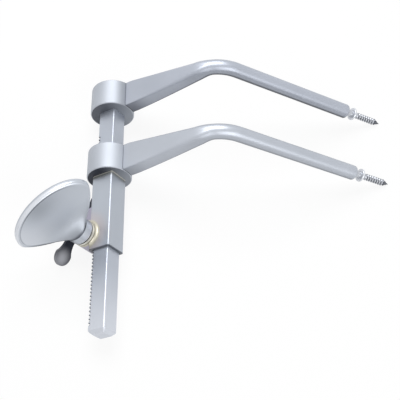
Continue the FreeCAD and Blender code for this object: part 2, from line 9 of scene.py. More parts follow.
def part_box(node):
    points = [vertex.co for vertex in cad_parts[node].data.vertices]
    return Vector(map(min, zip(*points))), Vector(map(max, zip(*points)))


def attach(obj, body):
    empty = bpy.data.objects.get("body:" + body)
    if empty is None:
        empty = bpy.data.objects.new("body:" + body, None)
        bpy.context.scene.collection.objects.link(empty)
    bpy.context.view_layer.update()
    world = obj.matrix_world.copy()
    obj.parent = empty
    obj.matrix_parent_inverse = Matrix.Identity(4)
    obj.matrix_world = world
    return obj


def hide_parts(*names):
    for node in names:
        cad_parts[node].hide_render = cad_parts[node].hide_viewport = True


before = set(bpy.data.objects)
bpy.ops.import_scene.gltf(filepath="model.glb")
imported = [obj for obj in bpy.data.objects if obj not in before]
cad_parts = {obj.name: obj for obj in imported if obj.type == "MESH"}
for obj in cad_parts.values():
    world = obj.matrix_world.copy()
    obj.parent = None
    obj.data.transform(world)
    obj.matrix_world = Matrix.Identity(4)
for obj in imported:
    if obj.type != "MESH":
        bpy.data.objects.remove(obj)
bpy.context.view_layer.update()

# All sizes below are millimetres in the bar's own directions: P is the way the arms leave the bar,
# Q is the way the tubes turn down and U runs up the bar to the fixed arm.
MM = 0.001
LAY = math.radians(34.99)
BAR_HALF = 4.0
BAR_EDGE = 0.62
BAR_LENGTH = 116.0
FIRST_NOTCH = -25.8
NOTCHES = 55
PITCH = 1.6
NOTCH_DEPTH = 1.15
NOTCH_FLANK = math.radians(25.0)
BAR_CHAMFER = 1.1
COLLAR_R = 9.55
COLLAR_H = 12.6
COLLAR_RIM = 0.4
FIXED_HOLE = 4.0
SLIDING_HOLE = 4.05
SLIDING_TOP = -33.15
HALF_T = 3.2
BLADE_UPPER = 3.3
BLADE_LOWER = 3.95
LOWER_TAPER = 1.3
ROOT_CORNER = 0.6
UPPER_CORNER = 2.9
LOWER_CORNER = 1.8
FULL_REACH = 12.0
ELBOW_REACH = 53.6
ELBOW = math.radians(61.84)
ROUND_AT = math.radians(27.0)
BEND_R = 16.7
TUBE_LENGTH = 69.5
TUBE_RIM = 0.8
BORE_R = 1.55
BORE_DEPTH = 24.0
POST_LENGTH = 20.0
POST_R = 1.45
FLANGE_START = 72.65
FLANGE_END = 73.55
FLANGE_R = 2.9
FLANGE_RIM = 0.3
NECK_R = 1.15
THREAD_START = 75.3
THREAD_LENGTH = 10.4
THREAD_R = 1.5
THREAD_PITCH = 1.3
THREAD_DEPTH = 0.48
POINT_LENGTH = 3.2
POINT_R = 0.12
PINION_P = -6.5558
PINION_U = -73.0
HUB_FACE = -7.85
HUB_R = 5.45
HUB_LENGTH = 4.2
HUB_RIM = 0.5
HUB_END = HUB_FACE - HUB_LENGTH
SWELL = 10.0
SWELL_POWER = 2.6
PLATE_HALF = 1.6
PLATE_WIDEST = HUB_FACE - 17.35
PLATE_WIDTH = 18.2
PLATE_MEAN = 15.0
PLATE_FAR = 11.8
PLATE_NEAR = 15.6
NEAR_POWER = 1.33
PLATE_EDGE = 1.15
RIM_SHARE = 0.93
KEY_TURN = math.radians(30.5)
SLEEVE_TOP = -45.75
SLEEVE_BOTTOM = -80.5
SLEEVE_HALF = 5.05

bar_low, bar_high = [Vector(corner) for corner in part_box("rack_bar")]
AXIS_X = (bar_low.x + bar_high.x) / 2
AXIS_Z = (bar_low.z + bar_high.z) / 2
TOP_Y = bar_high.y
LAY_COS = math.cos(LAY)
LAY_SIN = math.sin(LAY)


def lay(points):
    """Turns P, Q, U millimetres into X, Y, Z metres: X and Z are P and Q turned by the lay angle."""
    p, q, u = points[..., 0], points[..., 1], points[..., 2]
    x = AXIS_X + (LAY_COS * p + LAY_SIN * q) * MM
    y = TOP_Y + u * MM
    z = AXIS_Z + (LAY_SIN * p - LAY_COS * q) * MM
    return np.stack([x, y, z], axis=-1)


def ease(share):
    """A smooth step: three times the square less twice the cube, held between 0 and 1."""
    share = np.clip(share, 0.0, 1.0)
    return share * share * (3 - 2 * share)


def grid_faces(rows, columns, wrap_rows, start):
    """Quads between neighbouring rows and columns of a grid whose columns, and rows if asked, close up."""
    r = np.arange(rows if wrap_rows else rows - 1)
    r, c = [a.ravel() for a in np.meshgrid(r, np.arange(columns), indexing="ij")]
    r2, c2 = (r + 1) % rows, (c + 1) % columns
    corners = [r * columns + c, r * columns + c2, r2 * columns + c2, r2 * columns + c]
    return start + np.stack(corners, axis=-1)


def surface(name, shells, body, nodes, material, sharp_deg=35.0):
    """One piece from closed grids. Each shell is its points, its painted shading (0 plain, 1 painted shade,
    below 0 painted highlight) and whether its rows wrap. Doubles are merged and the signed volume turns the
    faces outwards."""
    vertices, painted_shadings, faces = [], [], []
    count = 0
    for points, painted_shading, wrap_rows in shells:
        rows, columns = points.shape[:2]
        vertices.append(points.reshape(-1, 3))
        painted_shadings.append(np.broadcast_to(painted_shading, (rows, columns)).ravel())
        faces += grid_faces(rows, columns, wrap_rows, count).tolist()
        if not wrap_rows:
            faces.append([count + i for i in range(columns)][::-1])
            faces.append([count + (rows - 1) * columns + i for i in range(columns)])
        count += rows * columns
    mesh = bpy.data.meshes.new(name)
    mesh.from_pydata(lay(np.concatenate(vertices)).tolist(), [], faces)
    # Per-point painted shading: above 0 it is painted shade, below 0 painted highlight.
    painted_shading_layer = mesh.attributes.new("painted_shading", "FLOAT", "POINT")
    painted_shading_layer.data.foreach_set("value", np.concatenate(painted_shadings).astype(np.float32))
    shell = bmesh.new()
    shell.from_mesh(mesh)
    bmesh.ops.remove_doubles(shell, verts=shell.verts, dist=1e-6)
    bmesh.ops.dissolve_degenerate(shell, dist=1e-7, edges=shell.edges)
    if shell.calc_volume(signed=True) < 0:
        bmesh.ops.reverse_faces(shell, faces=shell.faces)
    shell.to_mesh(mesh)
    shell.free()
    mesh.materials.append(material)
    mesh.shade_smooth()
    mesh.set_sharp_from_angle(angle=math.radians(sharp_deg))
    piece = bpy.data.objects.new(name, mesh)
    bpy.context.scene.collection.objects.link(piece)
    even = piece.modifiers.new("even_shading", "WEIGHTED_NORMAL")
    even.keep_sharp = True
    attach(piece, body)
    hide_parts(*nodes)
    return piece


def around(count):
    return np.arange(count) / count * 2 * math.pi


def arc_profile(centre_a, centre_b, radius, start_deg, end_deg, steps):
    """Points of a round edge: the centre plus the radius times the cosine and sine of even angles."""
    angle = np.radians(np.linspace(start_deg, end_deg, steps))
    return np.stack([centre_a + radius * np.cos(angle), centre_b + radius * np.sin(angle)], axis=-1)


# Finishes

def new_group(name, inputs, outputs):
    group = bpy.data.node_groups.new(name, "ShaderNodeTree")
    for label, kind, value in inputs:
        socket = group.interface.new_socket(label, in_out="INPUT", socket_type=kind)
        if value is not None:
            socket.default_value = value
    for label, kind in outputs:
        group.interface.new_socket(label, in_out="OUTPUT", socket_type=kind)
    return group, group.nodes.new("NodeGroupInput"), group.nodes.new("NodeGroupOutput")


def make_blasted_surface():
    """Fine blasted grain over slow clouds of tone, from the piece's own coordinates."""
    group, source, sink = new_group(
        "blasted_surface",
        [("Vector", "NodeSocketVector", None), ("Grain Scale", "NodeSocketFloat", 2600.0),
         ("Cloud Scale", "NodeSocketFloat", 60.0), ("Rough Low", "NodeSocketFloat", 0.34),
         ("Rough High", "NodeSocketFloat", 0.48), ("Bump Depth", "NodeSocketFloat", 0.00001)],
        [("Tone", "NodeSocketFloat"), ("Roughness", "NodeSocketFloat"), ("Normal", "NodeSocketVector")])
    nodes, links = group.nodes, group.links
    grain = nodes.new("ShaderNodeTexNoise")
    grain.inputs["Detail"].default_value = 4.0
    grain.inputs["Roughness"].default_value = 0.65
    cloud = nodes.new("ShaderNodeTexNoise")
    cloud.inputs["Detail"].default_value = 3.0
    for texture, label in ((grain, "Grain Scale"), (cloud, "Cloud Scale")):
        links.new(source.outputs["Vector"], texture.inputs["Vector"])
        links.new(source.outputs[label], texture.inputs["Scale"])
    soft = nodes.new("ShaderNodeMath")
    soft.operation = "MULTIPLY"
    soft.inputs[1].default_value = 0.7
    links.new(cloud.outputs["Fac"], soft.inputs[0])
    tone = nodes.new("ShaderNodeMath")
    tone.operation = "MULTIPLY_ADD"
    tone.inputs[1].default_value = 0.3
    links.new(grain.outputs["Fac"], tone.inputs[0])
    links.new(soft.outputs[0], tone.inputs[2])
    rough = nodes.new("ShaderNodeMapRange")
    rough.inputs["From Min"].default_value = 0.3
    rough.inputs["From Max"].default_value = 0.7
    links.new(tone.outputs[0], rough.inputs["Value"])
    links.new(source.outputs["Rough Low"], rough.inputs["To Min"])
    links.new(source.outputs["Rough High"], rough.inputs["To Max"])
    bump = nodes.new("ShaderNodeBump")
    bump.inputs["Strength"].default_value = 0.35
    links.new(grain.outputs["Fac"], bump.inputs["Height"])
    links.new(source.outputs["Bump Depth"], bump.inputs["Distance"])
    links.new(tone.outputs[0], sink.inputs["Tone"])
    links.new(rough.outputs["Result"], sink.inputs["Roughness"])
    links.new(bump.outputs["Normal"], sink.inputs["Normal"])
    return group


def make_near_line():
    """1 near a plane, line or point of the bar's directions, fading to 0: stains beside a brazed joint, and
    painted shade and painted light placed the same way.
    """
    group, source, sink = new_group(
        "near_line",
        [("Vector", "NodeSocketVector", None), ("Origin", "NodeSocketVector", None),
         ("Across", "NodeSocketVector", None), ("Inner", "NodeSocketFloat", 0.0),
         ("Outer", "NodeSocketFloat", 0.001)],
        [("Mask", "NodeSocketFloat")])
    nodes, links = group.nodes, group.links
    shift = nodes.new("ShaderNodeMapping")
    shift.vector_type = "TEXTURE"
    shift.inputs["Rotation"].default_value = (0, -LAY, 0)
    links.new(source.outputs["Vector"], shift.inputs["Vector"])
    links.new(source.outputs["Origin"], shift.inputs["Location"])
    flat = nodes.new("ShaderNodeVectorMath")
    flat.operation = "MULTIPLY"
    links.new(shift.outputs["Vector"], flat.inputs[0])
    links.new(source.outputs["Across"], flat.inputs[1])
    length = nodes.new("ShaderNodeVectorMath")
    length.operation = "LENGTH"
    links.new(flat.outputs[0], length.inputs[0])
    fade = nodes.new("ShaderNodeMapRange")
    fade.interpolation_type = "SMOOTHSTEP"
    fade.inputs["To Min"].default_value = 1.0
    fade.inputs["To Max"].default_value = 0.0
    links.new(length.outputs["Value"], fade.inputs["Value"])
    links.new(source.outputs["Inner"], fade.inputs["From Min"])
    links.new(source.outputs["Outer"], fade.inputs["From Max"])
    links.new(fade.outputs["Result"], sink.inputs["Mask"])
    return group


BLASTED = make_blasted_surface()
NEAR_LINE = make_near_line()
# Colours of the painted shade and the painted highlights.
PAINTED_SHADE = (0.035, 0.04, 0.055)
PAINTED_HIGHLIGHT = (0.86, 0.88, 0.93)


def steel(name, light, dark, metallic=0.55, rough=(0.32, 0.46), grain=2600.0, cloud=60.0, stains=()):
    """Stainless steel: two tones mixed by the blasted surface, stains near the brazed joints together with
    painted shade and painted light laid the same way, then the painted shade and painted highlights that the
    mesh carries."""
    material = bpy.data.materials.new(name)
    material.use_nodes = True
    nodes, links = material.node_tree.nodes, material.node_tree.links
    shader = nodes["Principled BSDF"]
    shader.inputs["Metallic"].default_value = metallic
    place = nodes.new("ShaderNodeTexCoord")
    blasted = nodes.new("ShaderNodeGroup")
    blasted.node_tree = BLASTED
    blasted.inputs["Grain Scale"].default_value = grain
    blasted.inputs["Cloud Scale"].default_value = cloud
    blasted.inputs["Rough Low"].default_value = rough[0]
    blasted.inputs["Rough High"].default_value = rough[1]
    links.new(place.outputs["Object"], blasted.inputs["Vector"])

    def over(below, mask, shade, most=1.0):
        level = nodes.new("ShaderNodeMath")
        level.operation = "MULTIPLY"
        level.use_clamp = True
        level.inputs[1].default_value = most
        links.new(mask, level.inputs[0])
        layer = nodes.new("ShaderNodeMix")
        layer.data_type = "RGBA"
        layer.inputs["B"].default_value = (*shade, 1)
        links.new(level.outputs[0], layer.inputs["Factor"])
        links.new(below, layer.inputs["A"])
        return layer.outputs["Result"]

    tone = nodes.new("ShaderNodeMix")
    tone.data_type = "RGBA"
    tone.inputs["A"].default_value = (*dark, 1)
    tone.inputs["B"].default_value = (*light, 1)
    links.new(blasted.outputs["Tone"], tone.inputs["Factor"])
    colour = tone.outputs["Result"]
    for origin, across, inner, outer, shade, most in stains:
        near = nodes.new("ShaderNodeGroup")
        near.node_tree = NEAR_LINE
        near.inputs["Origin"].default_value = origin
        near.inputs["Across"].default_value = across
        near.inputs["Inner"].default_value = inner * MM
        near.inputs["Outer"].default_value = outer * MM
        links.new(place.outputs["Object"], near.inputs["Vector"])
        colour = over(colour, near.outputs["Mask"], shade, most)
    # The mesh's painted shading: painted shade where it is above 0, painted highlight where it is below 0.
    painted_shading = nodes.new("ShaderNodeAttribute")
    painted_shading.attribute_name = "painted_shading"
    colour = over(colour, painted_shading.outputs["Fac"], PAINTED_SHADE)
    colour = over(colour, painted_shading.outputs["Fac"], PAINTED_HIGHLIGHT, -1.0)
    links.new(colour, shader.inputs["Base Color"])
    links.new(blasted.outputs["Roughness"], shader.inputs["Roughness"])
    links.new(blasted.outputs["Normal"], shader.inputs["Normal"])
    return material


def bar_place(p, q, u):
    return tuple(lay(np.array([p, q, u], dtype=float)).tolist())


GOLD = (0.60, 0.57, 0.45)
OLIVE = (0.17, 0.16, 0.10)
PINK = (0.55, 0.47, 0.47)
IVORY = (0.74, 0.73, 0.66)
PAINTED_SHADE_VIOLET = (0.46, 0.44, 0.54)
FROM_U_AXIS = (1, 0, 1)
FROM_Q_AXIS = (1, 1, 0)
FROM_POINT = (1, 1, 1)
ALONG_U = (0, 1, 0)
ALONG_Q = (0, 0, 1)
boss_root = bar_place(PINION_P, -SLEEVE_HALF, PINION_U)
lever_low, lever_high = [Vector(corner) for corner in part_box("lock_lever")]
paddle = (lever_low.x + 0.004, lever_low.y + 0.002, (lever_low.z + lever_high.z) / 2)
sleeve_stains_and_painted_shadow = (
    (bar_place(0, 0, SLEEVE_TOP), ALONG_U, 0.5, 2.6, OLIVE, 0.55),
    (bar_place(0, 0, SLEEVE_TOP), ALONG_U, 0.45, 0.7, IVORY, 1.0),
    (boss_root, FROM_POINT, 7.0, 12.5, PINK, 0.5),
    (boss_root, FROM_POINT, 6.4, 7.1, GOLD, 0.5),
    # A dark line along the sleeve's bottom edge: painted shadow.
    (bar_place(0, 0, SLEEVE_BOTTOM), ALONG_U, 0.15, 0.45, PAINTED_SHADE, 0.75),
)
housing_stains_and_painted_shade = (
    (boss_root, FROM_Q_AXIS, 6.5, 7.0, GOLD, 0.85),
    (bar_place(PINION_P, -SLEEVE_HALF - 2.0, PINION_U), ALONG_Q, 0.75, 0.8, IVORY, 1.0),
    (bar_place(PINION_P, -SLEEVE_HALF - 1.15, PINION_U), ALONG_Q, 0.1, 0.3, OLIVE, 0.85),
    # A violet-grey tone over the housing's middle: part of its painted shade.
    (bar_place(PINION_P, 0, PINION_U), ALONG_Q, 4.5, 5.2, PAINTED_SHADE_VIOLET, 1.0),
)
# A lighter patch at the paddle's lower end: painted light.
lever_painted_light = ((paddle, FROM_POINT, 0.5, 5.8, (0.50, 0.51, 0.55), 0.95),)
# A dark line round the arm's root where it meets the collar: painted shade in the crease.
seam_painted_shade = ((bar_place(0, 0, 0), FROM_U_AXIS, 9.62, 10.1, PAINTED_SHADE, 0.75),)
# The two arms are one steel; the fixed arm's tones are set darker than the sliding arm's as painted shade.
fixed_arm_steel = steel("fixed_arm_stainless", (0.48, 0.51, 0.58), (0.38, 0.41, 0.47), stains=seam_painted_shade)
sliding_arm_steel = steel("sliding_arm_stainless", (0.52, 0.55, 0.61), (0.42, 0.45, 0.50), stains=seam_painted_shade)
collar_steel = steel("collar_stainless", (0.50, 0.53, 0.58), (0.41, 0.44, 0.49), rough=(0.52, 0.62))
bar_steel = steel("bar_stainless", (0.50, 0.54, 0.61), (0.42, 0.45, 0.51), rough=(0.34, 0.46))
sleeve_steel = steel("sleeve_stainless", (0.48, 0.52, 0.58), (0.40, 0.43, 0.48), stains=sleeve_stains_and_painted_shadow)
key_steel = steel("key_stainless", (0.54, 0.58, 0.64), (0.46, 0.49, 0.54), rough=(0.30, 0.40), cloud=35.0)
# The lever's near-black steel is painted shade, for a lever lying in the key plate's shade.
lever_painted_shade_steel = steel("lever_stainless_painted_shade", (0.03, 0.035, 0.05), (0.012, 0.015, 0.025), rough=(0.28, 0.4),
                    stains=lever_painted_light)
# The housing's darker violet-grey tones are painted shade, for a housing that sits in shadow behind the
# sleeve.
housing_painted_shade_steel = steel("housing_stainless_painted_shade", (0.34, 0.33, 0.42), (0.24, 0.23, 0.30), stains=housing_stains_and_painted_shade)
screw_steel = steel("screw_stainless", (0.58, 0.60, 0.64), (0.46, 0.48, 0.52), rough=(0.2, 0.32),
                    grain=3600.0)
bronze = steel("bearing_bronze_worn", (0.60, 0.47, 0.28), (0.48, 0.37, 0.22), metallic=0.8)


# Arms and screws

TUBE_WAY = np.array([math.cos(ELBOW), math.sin(ELBOW), 0.0])
TUBE_SIDE = np.array([-math.sin(ELBOW), math.cos(ELBOW), 0.0])
UP = np.array([0.0, 0.0, 1.0])
BEND_TANGENT = BEND_R * math.tan(ELBOW / 2)
BEND_START = ELBOW_REACH - BEND_TANGENT
RING_TURN = (np.linspace(0, math.pi / 2, 14) + np.arange(4)[:, None] * math.pi / 2).ravel()
RING_Q = np.repeat([1, -1, -1, 1], 14)
RING_U = np.repeat([1, 1, -1, -1], 14)


def arm_ring(upper, lower, upper_corner, lower_corner, inset=0.0):
    """A rounded rectangle for each row: the corner's centre plus its radius times the cosine and sine,
    with one height and radius above the middle and another below."""
    height = np.where(RING_U > 0, upper[:, None], lower[:, None]) - inset
    corner = np.where(RING_U > 0, upper_corner[:, None], lower_corner[:, None])
    q = RING_Q * (HALF_T - inset - corner) + corner * np.cos(RING_TURN)
    u = RING_U * (height - corner) + corner * np.sin(RING_TURN)
    return q, u


def blade_shape(reach, share, middle):
    """Rounded rectangles that taper in even shares of the reach. Near the collar each point is drawn in to
    the collar's circle, whose depth at q is the root of the radius squared less q squared."""
    full = COLLAR_H / 2
    inset = np.where(reach < COLLAR_R + 0.2, 0.18, 0.0)[:, None]
    q, u = arm_ring(full + (BLADE_UPPER - full) * share, full + (BLADE_LOWER - full) * share ** LOWER_TAPER,
                    ROOT_CORNER + (UPPER_CORNER - ROOT_CORNER) * share,
                    ROOT_CORNER + (LOWER_CORNER - ROOT_CORNER) * share, inset)
    seat = np.sqrt(COLLAR_R ** 2 - q ** 2) - COLLAR_R
    p = reach[:, None] + seat * np.clip(1 - (reach[:, None] - COLLAR_R) / 3.0, 0, 1)
    p[0] -= 0.25
    return np.stack([p, q, u + middle], axis=-1)


def elbow_shape(middle):
    """The blade's last section turned about the bend's centre while its corners grow round."""
    turn = np.linspace(0, ELBOW, 28)[1:]
    grown = ease(turn / ROUND_AT)
    q, u = arm_ring(BLADE_UPPER + (HALF_T - BLADE_UPPER) * grown,
                    BLADE_LOWER + (HALF_T - BLADE_LOWER) * grown,
                    UPPER_CORNER + (HALF_T - UPPER_CORNER) * grown,
                    LOWER_CORNER + (HALF_T - LOWER_CORNER) * grown)
    along = BEND_START + (BEND_R - q) * np.sin(turn)[:, None]
    across = BEND_R - (BEND_R - q) * np.cos(turn)[:, None]
    return np.stack([along, across, middle + u], axis=-1)


def tube_shape(middle):
    """A lathe profile about the tube's line: down the tube, over its rounded end and back up the bore."""
    end = TUBE_LENGTH
    straight = np.linspace(BEND_TANGENT + 2, end - TUBE_RIM, 14)
    rim = arc_profile(end - TUBE_RIM, HALF_T - TUBE_RIM, TUBE_RIM, 90, 0, 8)[1:]
    bore = [[end, BORE_R + 0.2], [end - 0.2, BORE_R], [end - BORE_DEPTH, BORE_R], [end - BORE_DEPTH, 0.02]]
    profile = np.concatenate([np.stack([straight, np.full(14, HALF_T)], axis=-1), rim, bore])
    ring = np.cos(RING_TURN)[:, None] * TUBE_SIDE + np.sin(RING_TURN)[:, None] * UP
    elbow = np.array([ELBOW_REACH, 0.0, middle])
    return elbow + profile[:, 0][:, None, None] * TUBE_WAY + profile[:, 1][:, None, None] * ring[None]


def arm_painted_shading(rows, blade_q, reach, share, painted_shade_depth):
    """Painted shading by the place round the section: painted shade underneath, near the collar and along
    the lower and upper edges, painted highlights on the ridge and the side. The blade's own law fades into
    the tube's as the blade grows round."""
    degrees = np.degrees(RING_TURN)
    below = np.clip(-np.sin(RING_TURN), 0, 1) ** 1.5
    ridge = ease((degrees - 181) / 8) * ease((228 - degrees) / 14)
    crest = ease((degrees - 94) / 12) * ease((154 - degrees) / 20)
    keel = ease((degrees - 263) / 20) * ease((335 - degrees) / 14)
    edge = ease((degrees - 270) / 14) * ease((335 - degrees) / 14)
    side = ease((degrees - 130) / 20) * ease((245 - degrees) / 20)
    # Round section: painted shade below, along the keel and the crest, painted highlight on the side.
    round_painted_shading = (0.35 * painted_shade_depth - 0.1) * below - 0.5 * (1 - painted_shade_depth) * side + 0.3 * crest
    round_painted_shading = np.maximum(round_painted_shading, painted_shade_depth * keel)
    far = (blade_q + HALF_T) / (2 * HALF_T)
    near_root = ease(1 - (reach - COLLAR_R) / 12)[:, None]
    # Flat blade: painted shade below, deeper to the far side and near the collar, painted highlight on the
    # ridge.
    flat_painted_shading = painted_shade_depth * below * (0.05 + 0.22 * far + 0.6 * near_root) - 0.85 * ridge + 0.25 * crest
    flat_painted_shading = np.maximum(flat_painted_shading, painted_shade_depth * edge)
    rounding = ease((share - 0.7) / 0.3)[:, None]
    painted_shading = np.tile(round_painted_shading, (rows, 1))
    painted_shading[:len(reach)] = round_painted_shading * rounding + flat_painted_shading * (1 - rounding)
    # Painted shade deep in the bore.
    painted_shading[-3:] = 1.0
    return painted_shading


def make_arm(name, top, painted_shade_depth, body, node, material):
    """Blade, elbow and tube as one skin."""
    middle = top - COLLAR_H / 2
    reach = np.concatenate([[0.0, 0.3, 0.45], np.linspace(0.8, BEND_START - COLLAR_R, 46)]) + COLLAR_R
    share = np.clip((reach - FULL_REACH) / (BEND_START - FULL_REACH), 0, 1)
    blade = blade_shape(reach, share, middle)
    skin = np.concatenate([blade, elbow_shape(middle), tube_shape(middle)])
    painted_shading = arm_painted_shading(len(skin), blade[..., 1], reach, share, painted_shade_depth)
    return surface(name, [(skin, painted_shading, False)], body, [node], material)


def make_screw(name, top, body, node):
    """A lathe shape whose threaded end has a radius that falls from crest to root once per pitch,
    shifted by the angle so that the crest winds round, and shrinks to the point."""
    columns = 48
    angle = around(columns)
    post_start = TUBE_LENGTH - POST_LENGTH
    post = np.array([[post_start, 0.05], [post_start, POST_R], [TUBE_LENGTH + 1.0, POST_R],
                     [FLANGE_START - 0.1, 1.6]])
    flange = [arc_profile(FLANGE_START + FLANGE_RIM, FLANGE_R - FLANGE_RIM, FLANGE_RIM, 180, 90, 4),
              arc_profile(FLANGE_END - FLANGE_RIM, FLANGE_R - FLANGE_RIM, FLANGE_RIM, 90, 0, 4)]
    neck = [[FLANGE_END, 1.4], [FLANGE_END + 0.3, 1.2], [THREAD_START - 0.6, NECK_R]]
    plain = np.concatenate([post, *flange, neck])
    tip = THREAD_START + THREAD_LENGTH + POINT_LENGTH
    along = np.linspace(THREAD_START - 0.5, tip, 150)
    phase = (along[:, None] / THREAD_PITCH - angle[None] / (2 * math.pi)) % 1.0
    tooth = np.clip(np.minimum(phase / 0.62, (1 - phase) / 0.38) * 1.4 - 0.15, 0, 1)
    run_in = np.clip((along - THREAD_START + 0.5) / 1.2, 0, 1)[:, None]
    point = np.clip((tip - along) / POINT_LENGTH, 0.0, 1)[:, None]
    crest = POINT_R + (THREAD_R - POINT_R) * point
    radius = crest - THREAD_DEPTH * run_in * point ** 0.5 * (1 - tooth) - 0.25 * (1 - run_in)
    base = np.array([ELBOW_REACH, 0.0, top - COLLAR_H / 2])
    ring = np.cos(angle)[:, None] * TUBE_SIDE + np.sin(angle)[:, None] * UP
    first = base + plain[:, 0][:, None, None] * TUBE_WAY + plain[:, 1][:, None, None] * ring[None]
    second = base + along[:, None, None] * TUBE_WAY + radius[:, :, None] * ring[None]
    # Painted shade in the thread's grooves.
    painted_shading = np.concatenate([np.zeros((len(plain), columns)), (1 - tooth) * run_in * point ** 0.3])
    # Painted shade over the point.
    painted_shading[-36:] = 0.9
    # Painted highlight on the flange.
    painted_shading[4:12] = -0.5
    skin = np.concatenate([first, second])
    return surface(name, [(skin, painted_shading, False)], body, [node], screw_steel, sharp_deg=50.0)


# Bar, collars and key

def make_bar():
    """A square with rounded edges run down the bar; on the toothed side its points are pushed in to the
    depth of the notches, which is a trapezium wave down the bar."""
    flat = BAR_HALF - BAR_EDGE
    gullet = 0.05 + NOTCH_DEPTH - BAR_HALF
    across = np.linspace(-flat, flat, 9)[1:-1]
    toothed = np.stack([across, np.full(7, -BAR_HALF)], axis=-1)
    outline = np.concatenate([arc_profile(flat, flat, BAR_EDGE, 0, 90, 7),
                              arc_profile(-flat, flat, BAR_EDGE, 90, 180, 7), [[-BAR_HALF, gullet]],
                              arc_profile(-flat, -flat, BAR_EDGE, 180, 270, 7), toothed,
                              arc_profile(flat, -flat, BAR_EDGE, 270, 360, 7), [[BAR_HALF, gullet]]])
    flank = math.tan(NOTCH_FLANK)
    mouth, floor = PITCH / 4 + 0.5 * flank, PITCH / 4 - 0.65 * flank
    centres = FIRST_NOTCH - PITCH * np.arange(NOTCHES)
    lips = np.array([mouth, mouth - 0.02, floor, -floor, 0.02 - mouth, -mouth])
    steps = (centres[:, None] + lips).ravel()
    end = -BAR_LENGTH
    chamfer = end + BAR_CHAMFER
    u = np.concatenate([[0.0, -0.001], steps, [chamfer + 0.25, chamfer, end + 0.1, end]])
    depth = np.concatenate([[0.0, 0.0], np.tile([0.0, 0.06, NOTCH_DEPTH, NOTCH_DEPTH, 0.06, 0.0], NOTCHES),
                            np.zeros(4)])
    shrink = np.concatenate([np.zeros(len(steps) + 3), [0.12, 1.12, 1.22]])
    scale = ((BAR_HALF - shrink) / BAR_HALF)[:, None]
    q = outline[:, 0] * scale
    p = np.maximum(outline[:, 1] * scale, depth[:, None] - BAR_HALF)
    skin = np.stack([p, q, u[:, None] + 0 * p], axis=-1)
    # Painted shade in the notches.
    notched = (depth[:, None] > 0) & (outline[:, 1] < gullet - 0.01)
    # Painted light that grows towards the bar's lower end.
    painted_light_near_end = -0.4 * ease((-u[:, None] - 84) / 34)
    painted_shading = np.where(notched, 0.97, painted_light_near_end)
    return surface("bar_skin", [(skin, painted_shading, False)], "frame", ["rack_bar"], bar_steel,
                   sharp_deg=24.0)


def make_collar(name, top, half_hole, under, beside, body, node):
    """A ring with a square hole: the outer circle, rounded at both rims, closed over the flat ends to the
    square, whose radius at each angle is its half side over the larger of cosine and sine."""
    angle = around(144)
    square = half_hole / np.maximum(np.abs(np.cos(angle)), np.abs(np.sin(angle)))
    low, high, rim = top - COLLAR_H, top, COLLAR_RIM
    flat = COLLAR_R - rim - 0.02
    rows = np.concatenate([[[flat, high]], arc_profile(COLLAR_R - rim, high - rim, rim, 90, 0, 7),
                           arc_profile(COLLAR_R - rim, low + rim, rim, 0, -90, 7), [[flat, low]]])
    outer = np.repeat(rows[:, :1], len(angle), axis=1)
    level = np.repeat(rows[:, 1:], len(angle), axis=1)
    radius = np.concatenate([square[None], outer, square[None]])
    level = np.concatenate([np.full((1, len(angle)), high), level, np.full((1, len(angle)), low)])
    skin = np.stack([radius * np.cos(angle), radius * np.sin(angle), level], axis=-1)
    painted_shading = np.zeros(radius.shape)
    # Painted highlight on the top rim.
    painted_shading[1:4] = -0.35
    # Painted highlight on the lower rim.
    painted_shading[-5:-2] = -0.2
    # Painted shade on the underside, deeper away from the arm.
    away_from_arm = 0.5 - 0.5 * np.cos(angle - LAY)
    painted_shading[-2:] = under * (0.4 + 0.6 * ease(1.25 * away_from_arm))
    # Painted shade on the side next to the arm's root.
    beside_arm = ease((np.degrees(angle) - 308) / 26)
    painted_shading[1:-2] += beside * beside_arm
    return surface(name, [(skin, painted_shading, True)], body, [node], collar_steel, sharp_deg=30.0)


ACROSS = np.array([math.cos(KEY_TURN), 0.0, math.sin(KEY_TURN)])
THROUGH = np.array([-math.sin(KEY_TURN), 0.0, math.cos(KEY_TURN)])
OUT = np.array([0.0, 1.0, 0.0])
PINION = np.array([PINION_P, 0.0, PINION_U])


def key_points(across, through, level):
    """Places in the key's own directions, turned to the key's angle and set on the pinion's axis."""
    return PINION + across[..., None] * ACROSS + through[..., None] * THROUGH + level[..., None] * OUT


